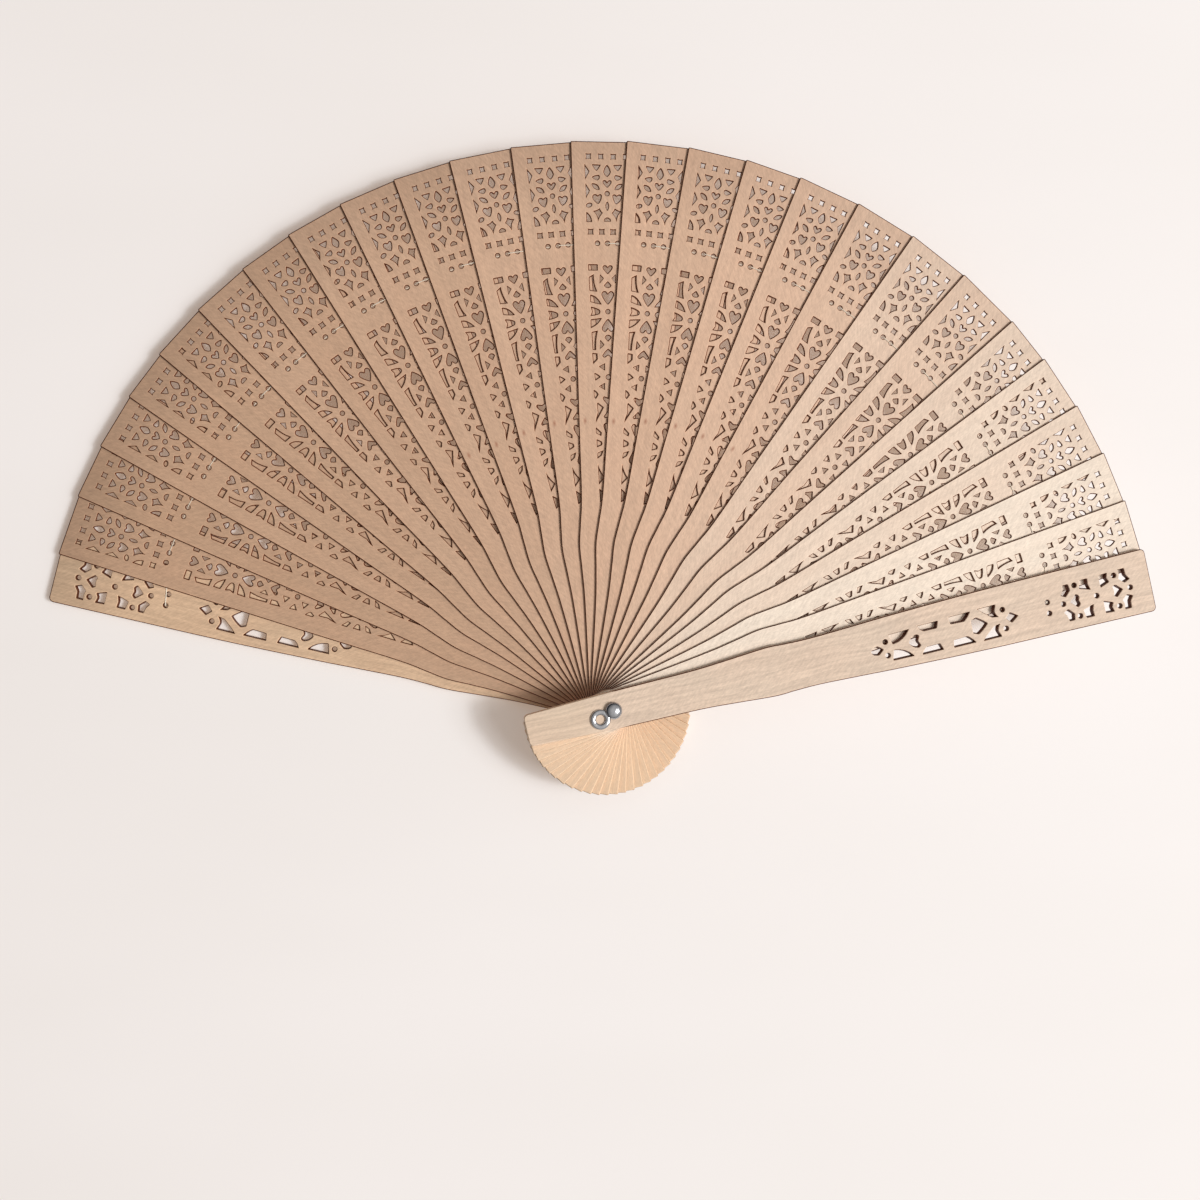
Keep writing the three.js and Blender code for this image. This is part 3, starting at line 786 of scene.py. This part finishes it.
def even_points(route, spacing):
    """Points along the smooth curve through route, spacing apart."""
    fine = []
    last = len(route) - 1
    for number in range(last):
        p0, p1, p2 = route[max(0, number - 1)], route[number], route[number + 1]
        p3 = route[min(last, number + 2)]
        reach = (p2 - p1).length
        before = (p2 - p0).normalized() * reach
        after = (p3 - p1).normalized() * reach
        steps = max(4, round(reach / spacing * 2))
        for step in range(steps):
            t = step / steps
            fine.append(
                p1 * (2 * t ** 3 - 3 * t * t + 1) + before * (t ** 3 - 2 * t * t + t)
                + p2 * (3 * t * t - 2 * t ** 3) + after * (t ** 3 - t * t)
            )
    fine.append(route[-1])
    points, carried = [fine[0]], 0.0
    for a, b in zip(fine, fine[1:]):
        carried += (b - a).length
        if carried >= spacing:
            points.append(b)
            carried = 0.0
    if (points[-1] - fine[-1]).length < spacing / 2:
        points.pop()
    points.append(fine[-1])
    return points


def tube(verts, faces, centres, frames, radius, sides, flatness=1.0, endless=False):
    """Adds a tube round centres, either with flat ends or run round to its own start.

    frames gives each station's two cross directions."""
    first = len(verts)
    for centre, (across, up) in zip(centres, frames):
        for side in range(sides):
            angle = 2 * math.pi * side / sides
            offset = across * (math.cos(angle) * radius) + up * (math.sin(angle) * radius * flatness)
            verts.append(centre + offset)
    last = len(centres) - 1
    for station in range(last + endless):
        ring, onward = first + station * sides, first + (station + 1) % len(centres) * sides
        for side in range(sides):
            beside = (side + 1) % sides
            faces.append((ring + side, ring + beside, onward + beside, onward + side))
    if not endless:
        faces.append(tuple(first + side for side in reversed(range(sides))))
        faces.append(tuple(first + last * sides + side for side in range(sides)))


def twisted_thread(name, route, flatness):
    """Two plies wound round each other along route, in millimetres, as a mesh in metres."""
    points = even_points(route, TWIST_PITCH / STATIONS_PER_TWIST)
    frames, turns, travelled = [], [], 0.0
    up = None
    for number, point in enumerate(points):
        ahead = (points[min(number + 1, len(points) - 1)] - points[max(number - 1, 0)]).normalized()
        if up is None:
            up = ahead.orthogonal()
        across = up.cross(ahead).normalized()
        up = ahead.cross(across).normalized()
        frames.append((across, up))
        if number:
            travelled += (point - points[number - 1]).length
        turns.append(2 * math.pi * travelled / TWIST_PITCH)
    verts, faces = [], []
    for ply in (0, math.pi):
        centres = [
            point + across * (math.cos(turn + ply) * PLY_OFFSET)
            + rise * (math.sin(turn + ply) * PLY_OFFSET * flatness)
            for point, (across, rise), turn in zip(points, frames, turns)
        ]
        tube(verts, faces, centres, frames, PLY_RADIUS, PLY_SIDES, flatness)
    mesh = bpy.data.meshes.new(name)
    mesh.from_pydata([vert * MM for vert in verts], [], faces)
    mesh.shade_smooth()
    return mesh


def make_thread():
    cotton = thread_material()
    for stick in range(STICK_COUNT - 1):
        start, end = thread_hole(stick), thread_hole(stick + 1)
        run = end - start
        name = f"thread_span_{stick:02d}"
        mesh = twisted_thread(name + "_twisted", span_route(stick, run.length), THREAD_FLATNESS)
        mesh.materials.append(cotton)
        matrix = Matrix.Translation((start.x * MM, start.y * MM, span_level(stick) * MM))
        mesh.transform(matrix @ Matrix.Rotation(math.atan2(run.y, run.x), 4, "Z"))
        piece = bpy.data.objects.new(name + "_twisted", mesh)
        bpy.context.scene.collection.objects.link(piece)
        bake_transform(piece)
        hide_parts(name)
    for name, stick in (("thread_knot_back", 0), ("thread_knot_front", STICK_COUNT - 1)):
        low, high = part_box(name)
        mesh = overhand_knot(name + "_tied")
        matrix = Matrix.Translation((low + high) / 2)
        place_piece(name + "_tied", mesh, cotton, stick_name(stick), [name], matrix)


def overhand_knot(name):
    """A trefoil of thread pulled up tight."""
    size, lobe, tightness, height = KNOT_RADIUS * 0.24, 1.6, 0.85, 1.3
    count = 96
    points = []
    for number in range(count):
        t = 2 * math.pi * number / count
        points.append(Vector((
            size * (math.sin(t) + lobe * math.sin(2 * t)) * tightness,
            size * (math.cos(t) - lobe * math.cos(2 * t)) * tightness,
            -size * height * math.sin(3 * t),
        )))
    frames = []
    for number in range(count):
        ahead = (points[(number + 1) % count] - points[number - 1]).normalized()
        across = ahead.cross(Vector((0, 0, 1))).normalized()
        frames.append((across, across.cross(ahead)))
    verts, faces = [], []
    tube(verts, faces, points, frames, KNOT_THREAD_RADIUS, KNOT_THREAD_SIDES, endless=True)
    mesh = bpy.data.meshes.new(name)
    mesh.from_pydata([vert * MM for vert in verts], [], faces)
    mesh.shade_smooth()
    return mesh


# ---- hardware at the pivot, in millimetres --------------------------------------

TURNED_SIDES = 64
HARDWARE_GAP = 0.1
RIVET_RADIUS = 1.5
HEAD_RADIUS = 2.55
TAIL_RADIUS = 2.1
WASHER_RADIUS = 3
EYE_RADIUS = 3.1
EYE_HOLE_RADIUS = 1.4
COLLAR_RADIUS = 2.3
EYE_OFFSET = 4.8
EYE_ANGLE = 215  # degrees
RING_HEIGHT = 0.8
RING_BEVEL = 0.06
WEB_HEIGHT = 0.3
BEAD_RISE = 0.5  # above the web
COLLAR_HEIGHT = 0.48
COLLAR_DROP = 0.18  # from the collar to the web, over the slope
COLLAR_SLOPE = 0.4
COLLAR_RINGS = (1.8, 1.95, 2.1)  # radii of the extra points in the collar's face
RING_HOLE_CLEARANCE = 0.15  # of the extra points in the eye's face
EYE_CLEARANCE = 0.05


def turned(name, profile):
    """A closed solid of revolution about Z. profile runs from axis to axis, or closes on itself."""
    verts, faces, rings = [], [], []
    for radius, height in profile:
        if radius == 0:
            rings.append([len(verts)])
            verts.append(Vector((0, 0, height)))
            continue
        rings.append(list(range(len(verts), len(verts) + TURNED_SIDES)))
        for side in range(TURNED_SIDES):
            angle = 2 * math.pi * side / TURNED_SIDES
            verts.append(Vector((radius * math.cos(angle), radius * math.sin(angle), height)))
    closed = profile[0][0] != 0
    pairs = list(zip(rings, rings[1:] + rings[:1])) if closed else list(zip(rings, rings[1:]))
    for lower, upper in pairs:
        for side in range(TURNED_SIDES):
            following = (side + 1) % TURNED_SIDES
            if len(lower) == 1:
                faces.append((lower[0], upper[following], upper[side]))
            elif len(upper) == 1:
                faces.append((lower[side], lower[following], upper[0]))
            else:
                faces.append((lower[side], lower[following], upper[following], upper[side]))
    mesh = bpy.data.meshes.new(name)
    mesh.from_pydata([vert * MM for vert in verts], [], faces)
    mesh.shade_smooth()
    return mesh


def rivet_profile():
    low, high = (corner.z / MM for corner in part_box("pivot_rivet"))
    tail_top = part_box("rivet_washer")[0].z / MM - HARDWARE_GAP
    head_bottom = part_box("tassel_ring")[1].z / MM + HARDWARE_GAP
    height = high - head_bottom
    tail_edge, head_edge = 0.06, 0.1
    profile = [
        (0, low), (TAIL_RADIUS - 0.35, low), (TAIL_RADIUS - 0.12, low + 0.05), (TAIL_RADIUS, low + 0.2),
        (TAIL_RADIUS, tail_top - tail_edge), (TAIL_RADIUS - tail_edge, tail_top), (RIVET_RADIUS, tail_top),
        (RIVET_RADIUS, head_bottom), (HEAD_RADIUS - head_edge, head_bottom),
        (HEAD_RADIUS, head_bottom + head_edge),
    ]
    steps, first = 9, math.radians(12)
    for step in range(steps):
        angle = first + (math.pi / 2 - first) * step / steps
        rise = (math.sin(angle) - math.sin(first)) / (1 - math.sin(first))
        radius = HEAD_RADIUS * math.cos(angle) / math.cos(first)
        profile.append((radius, head_bottom + head_edge + (height - head_edge) * rise))
    profile.append((0, high))
    return profile


def washer_profile():
    low, high = (corner.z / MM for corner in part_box("rivet_washer"))
    bore, edge = RIVET_HOLE_RADIUS, 0.08
    return [
        (bore + edge, low), (WASHER_RADIUS - edge, low), (WASHER_RADIUS, low + edge),
        (WASHER_RADIUS, high - edge), (WASHER_RADIUS - edge, high), (bore + edge, high), (bore, high - edge),
        (bore, low + edge),
    ]


def ring_height(point):
    """The upper face of the tassel ring: a rounded eye and a flatter collar, run together in a soft web."""
    to_eye = (point - Vector((EYE_OFFSET, 0))).length
    to_rivet = point.length
    middle, half = (EYE_RADIUS + EYE_HOLE_RADIUS) / 2, (EYE_RADIUS - EYE_HOLE_RADIUS) / 2
    across = min(1.0, abs(to_eye - middle) / half)
    bead = BEAD_RISE * math.sqrt(max(0.0, 1 - across ** 2)) if to_eye < EYE_RADIUS else 0
    down = max(0.0, min(1.0, (to_rivet - COLLAR_RADIUS + COLLAR_SLOPE) / COLLAR_SLOPE))
    return max(WEB_HEIGHT + bead, COLLAR_HEIGHT - COLLAR_DROP * down ** 2)


def tassel_ring_mesh():
    crossing = (EYE_OFFSET ** 2 + COLLAR_RADIUS ** 2 - EYE_RADIUS ** 2) / (2 * EYE_OFFSET)
    waist = math.sqrt(COLLAR_RADIUS ** 2 - crossing ** 2)
    collar_angle = math.atan2(waist, crossing)
    eye_angle = math.atan2(waist, crossing - EYE_OFFSET)
    rim, steps = [], 48
    for step in range(steps):
        angle = collar_angle + (2 * math.pi - 2 * collar_angle) * step / steps
        rim.append(Vector((math.cos(angle), math.sin(angle))) * COLLAR_RADIUS)
    for step in range(steps):
        angle = -eye_angle + 2 * eye_angle * step / steps
        rim.append(Vector((EYE_OFFSET + EYE_RADIUS * math.cos(angle), EYE_RADIUS * math.sin(angle))))
    holes = [
        ellipse(0, 0, RIVET_HOLE_RADIUS, RIVET_HOLE_RADIUS, count=32),
        ellipse(EYE_OFFSET, 0, EYE_HOLE_RADIUS, EYE_HOLE_RADIUS, count=40),
    ]
    inner = []
    rings = 9
    for ring in range(1, rings):
        radius = EYE_HOLE_RADIUS + (EYE_RADIUS - EYE_HOLE_RADIUS) * ring / rings
        for point in ellipse(EYE_OFFSET, 0, radius, radius, count=56):
            if point.length > RIVET_HOLE_RADIUS + RING_HOLE_CLEARANCE:
                inner.append(point)
    for radius in COLLAR_RINGS:
        for point in ellipse(0, 0, radius, radius, count=40):
            if (point - Vector((EYE_OFFSET, 0))).length > EYE_RADIUS + EYE_CLEARANCE:
                inner.append(point)
    return sheet_mesh("tassel_ring_stamped", rim, holes, RING_HEIGHT, rim_bevel=RING_BEVEL, bevel=RING_BEVEL,
                      crown=ring_height, inner=inner)


def make_hardware():
    nickel = metal_material()
    rivet = turned("rivet_polished", rivet_profile())
    place_piece("rivet_polished", rivet, nickel, "back_guard", ["pivot_rivet"])
    washer = turned("washer_polished", washer_profile())
    place_piece("washer_polished", washer, nickel, "back_guard", ["rivet_washer"])
    ring_low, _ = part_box("tassel_ring")
    matrix = Matrix.Translation((0, 0, ring_low.z)) @ Matrix.Rotation(math.radians(EYE_ANGLE), 4, "Z")
    ring = tassel_ring_mesh()
    place_piece("tassel_ring_stamped", ring, nickel, "tassel_ring", ["tassel_ring"], matrix)


# ---- surface, light and camera --------------------------------------------------

CAMERA_AT = (-0.05114, 0.04642, 0.47573)
CAMERA_TARGET = (-0.00315, 0.03308, 0.0132)
CAMERA_ROLL = 0.56  # degrees, anticlockwise as the camera sees itself
LENS = 45  # millimetres
SENSOR = 36  # millimetres wide
FLOOR_REACH = 3
FLOOR_GLOW = (0.22, 0.155, 0.11, 1.0)
LAMP_COLOUR = (1.0, 0.988, 0.98)
SKY_BRIGHTEST_TOWARDS = (0.35, -0.2, 0.92)
SKY_DARK = (0.03, 0.03, 0.035, 1)
SKY_BRIGHT = (0.63, 0.61, 0.585, 1)


def make_floor():
    """A table with a little warm light of its own, so that the shadows under the fan stay open."""
    mesh = bpy.data.meshes.new("floor")
    corners = [(x * FLOOR_REACH, y * FLOOR_REACH, 0) for x, y in ((-1, -1), (1, -1), (1, 1), (-1, 1))]
    mesh.from_pydata(corners, [], [(0, 1, 2, 3)])
    floor = bpy.data.objects.new("floor", mesh)
    bpy.context.scene.collection.objects.link(floor)
    shader = Shader("pale_surface")
    place = shader.add("TexCoord").outputs["Object"]
    haze = shader.noise(place, (3, 9, 3), detail=3)
    shader.set(Base_Color=shader.ramp(haze, (0.3, linear(207, 210, 213)), (0.7, linear(213, 216, 220))))
    shader.set(Roughness=shader.math("ADD", shader.math("MULTIPLY", haze, 0.1), 0.6))
    shader.set(Emission_Color=FLOOR_GLOW, Emission_Strength=1.0)
    mesh.materials.append(shader.material)


def add_light(name, at, towards, size, power):
    data = bpy.data.lights.new(name, "AREA")
    data.shape = "DISK"
    data.size = size
    data.energy = power
    data.color = LAMP_COLOUR
    lamp = bpy.data.objects.new(name, data)
    lamp.location = at
    lamp.rotation_euler = (Vector(towards) - Vector(at)).to_track_quat("-Z", "Y").to_euler()
    bpy.context.scene.collection.objects.link(lamp)


def make_light():
    """A broad soft light and a smaller one beside it, under a sky that darkens towards the horizon."""
    add_light("window", at=(1.7, -0.3, 2.65), towards=(0, 0.05, 0), size=1.5, power=53)
    add_light("sun", at=(1.7, -0.2, 2.7), towards=(0, 0.07, 0), size=0.45, power=27)
    world = bpy.data.worlds.new("studio")
    world.use_nodes = True
    nodes, links = world.node_tree.nodes, world.node_tree.links
    direction = nodes.new("ShaderNodeTexCoord")
    towards = nodes.new("ShaderNodeVectorMath")
    towards.operation = "DOT_PRODUCT"
    towards.inputs[1].default_value = SKY_BRIGHTEST_TOWARDS
    ramp = nodes.new("ShaderNodeValToRGB")
    for element, colour, position in zip(ramp.color_ramp.elements, (SKY_DARK, SKY_BRIGHT), (0.15, 0.95)):
        element.color = colour
        element.position = position
    links.new(direction.outputs["Generated"], towards.inputs[0])
    links.new(towards.outputs["Value"], ramp.inputs[0])
    links.new(ramp.outputs[0], nodes["Background"].inputs["Color"])
    bpy.context.scene.world = world


def make_camera():
    data = bpy.data.cameras.new("camera")
    data.lens = LENS
    data.sensor_width = SENSOR
    data.clip_start = 0.01
    data.clip_end = 20
    camera = bpy.data.objects.new("camera", data)
    at = Vector(CAMERA_AT)
    look = (Vector(CAMERA_TARGET) - at).normalized()
    right = look.cross(Vector((0, 1, 0))).normalized()
    up = right.cross(look)
    axes = Matrix((right, up, -look)).transposed().to_4x4()
    camera.matrix_world = Matrix.Translation(at) @ axes @ Matrix.Rotation(math.radians(CAMERA_ROLL), 4, "Z")
    bpy.context.scene.collection.objects.link(camera)
    bpy.context.scene.camera = camera


make_camera()
make_light()
make_floor()
make_sticks()
make_thread()
make_hardware()
bpy.context.scene.view_settings.view_transform = "Standard"
